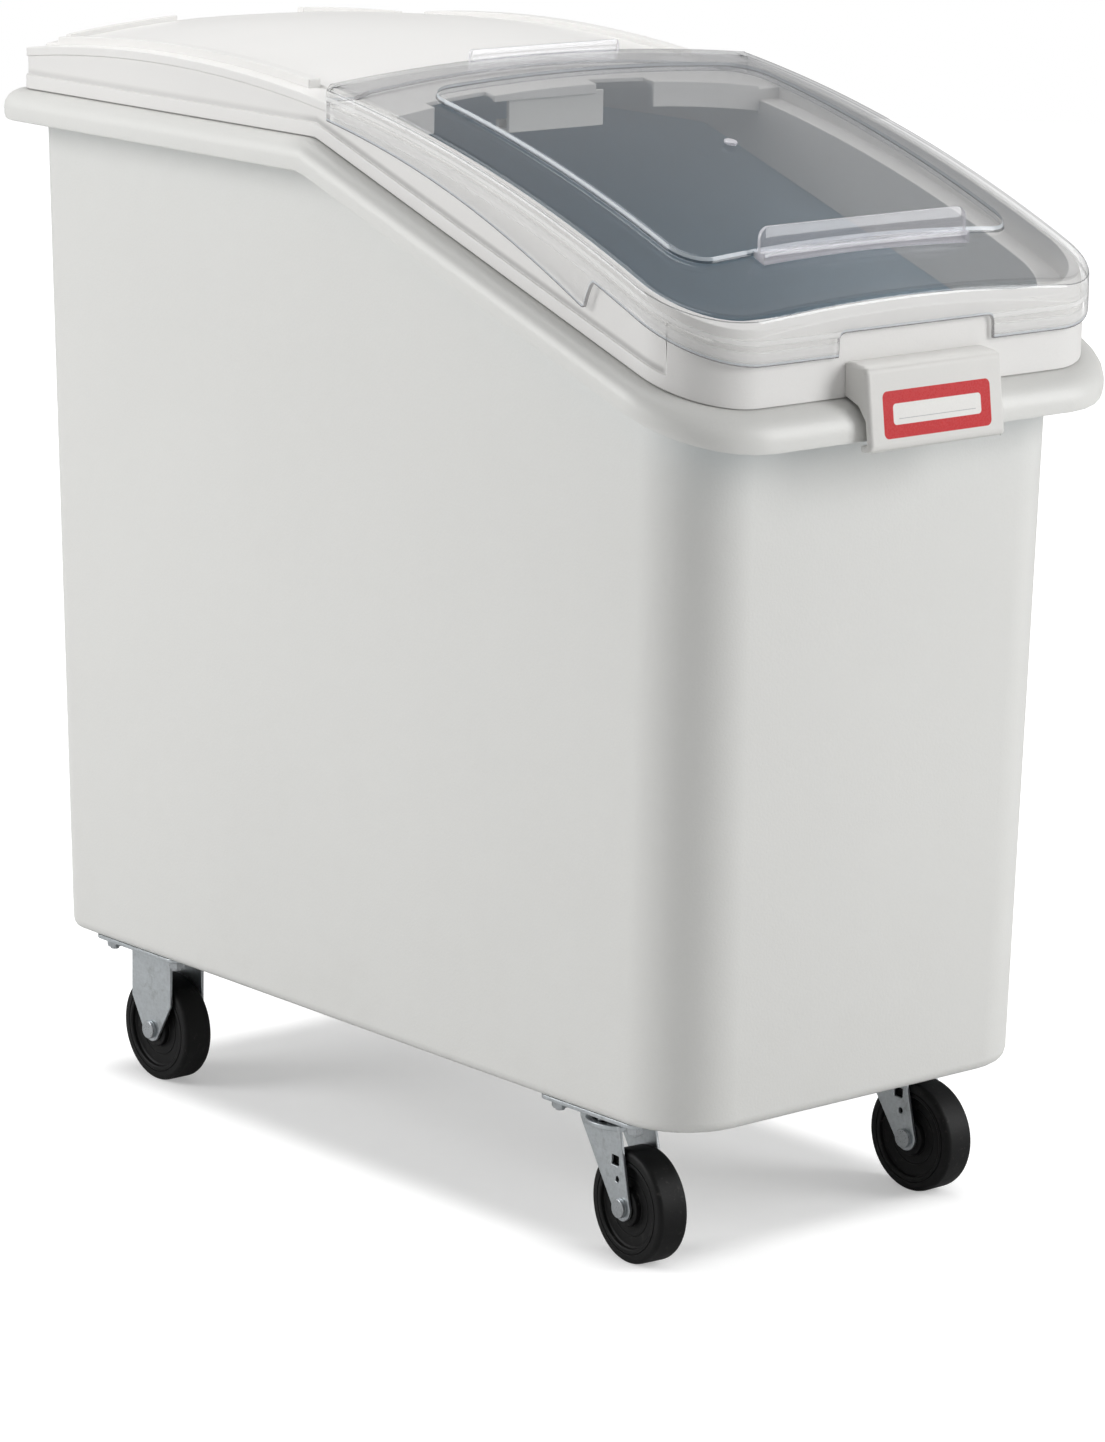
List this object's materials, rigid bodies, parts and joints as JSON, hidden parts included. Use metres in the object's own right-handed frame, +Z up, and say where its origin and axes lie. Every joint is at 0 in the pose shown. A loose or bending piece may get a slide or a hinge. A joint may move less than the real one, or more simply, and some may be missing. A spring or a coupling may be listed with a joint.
{
  "type": "rolling flour bin",
  "caption": "Tall moulded flour bin on swivel and rigid casters, with an arched cover, a clear tilting front lid and a rim that slopes down to the front for scooping.",
  "frame": {"origin": "on the floor, under the middle of the overall footprint", "axes": "+Z up, -Y towards the low front with the latch, +X to the right seen from the front"},
  "size_m": [0.394, 0.7596, 0.7586],
  "materials": {
    "tub_plastic": "cool white moulded plastic with a fine grain",
    "frame_plastic": "warm white satin plastic",
    "clear_plastic": "clear, slightly smoky plastic",
    "latch_plastic": "light warm grey plastic",
    "wheel_rubber": "black moulded wheel",
    "zinc_steel": "bright zinc plated",
    "bearing_steel": "plain turned steel"
  },
  "bodies": {
    "bin": {"tub": "tub_plastic", "caster_bolts": "zinc_steel", "caster_nuts": "zinc_steel", "rear_left_bracket": "zinc_steel", "rear_left_axle_bolt": "zinc_steel", "rear_left_axle_nut": "zinc_steel", "rear_left_sleeve": "bearing_steel", "front_left_plate": "zinc_steel", "front_left_kingpin": "bearing_steel", "front_left_balls": "bearing_steel", "rear_right_bracket": "zinc_steel", "rear_right_axle_bolt": "zinc_steel", "rear_right_axle_nut": "zinc_steel", "rear_right_sleeve": "bearing_steel", "front_right_plate": "zinc_steel", "front_right_kingpin": "bearing_steel", "front_right_balls": "bearing_steel"},
    "cover": {"lid_frame": "frame_plastic", "front_latch": "latch_plastic", "hanging_hook": "frame_plastic"},
    "clear_lid": {"clear_lid": "clear_plastic"},
    "front_left_swivel": {"front_left_fork": "zinc_steel", "front_left_axle_bolt": "zinc_steel", "front_left_axle_nut": "zinc_steel", "front_left_sleeve": "bearing_steel"},
    "front_left_wheel_body": {"front_left_wheel": "wheel_rubber"},
    "rear_left_wheel_body": {"rear_left_wheel": "wheel_rubber"},
    "front_right_swivel": {"front_right_fork": "zinc_steel", "front_right_axle_bolt": "zinc_steel", "front_right_axle_nut": "zinc_steel", "front_right_sleeve": "bearing_steel"},
    "front_right_wheel_body": {"front_right_wheel": "wheel_rubber"},
    "rear_right_wheel_body": {"rear_right_wheel": "wheel_rubber"}
  },
  "joints": [
    {"name": "cover_lift", "type": "slide", "parent": "bin", "child": "cover", "axis": [0, 0, 1], "range_m": [0, 0.25]},
    {"name": "lid_tilt", "type": "hinge", "parent": "cover", "child": "clear_lid", "pos_m": [0, 0.01025, 0.75259], "axis": [-1, 0, 0], "range_deg": [0, 95]},
    {"name": "front_left_turn", "type": "hinge", "parent": "bin", "child": "front_left_swivel", "pos_m": [-0.125, -0.23145, 0.09], "axis": [0, 0, 1], "continuous": true},
    {"name": "front_left_roll", "type": "hinge", "parent": "front_left_swivel", "child": "front_left_wheel_body", "pos_m": [-0.12693, -0.25437, 0.0381], "axis": [0.9965, -0.0837, 0], "continuous": true},
    {"name": "rear_left_roll", "type": "hinge", "parent": "bin", "child": "rear_left_wheel_body", "pos_m": [-0.125, 0.26395, 0.0381], "axis": [1, 0, 0], "continuous": true},
    {"name": "front_right_turn", "type": "hinge", "parent": "bin", "child": "front_right_swivel", "pos_m": [0.125, -0.23145, 0.09], "axis": [0, 0, 1], "continuous": true},
    {"name": "front_right_roll", "type": "hinge", "parent": "front_right_swivel", "child": "front_right_wheel_body", "pos_m": [0.12544, -0.25445, 0.0381], "axis": [0.9998, 0.0192, 0], "continuous": true},
    {"name": "rear_right_roll", "type": "hinge", "parent": "bin", "child": "rear_right_wheel_body", "pos_m": [0.125, 0.26395, 0.0381], "axis": [1, 0, 0], "continuous": true}
  ]
}
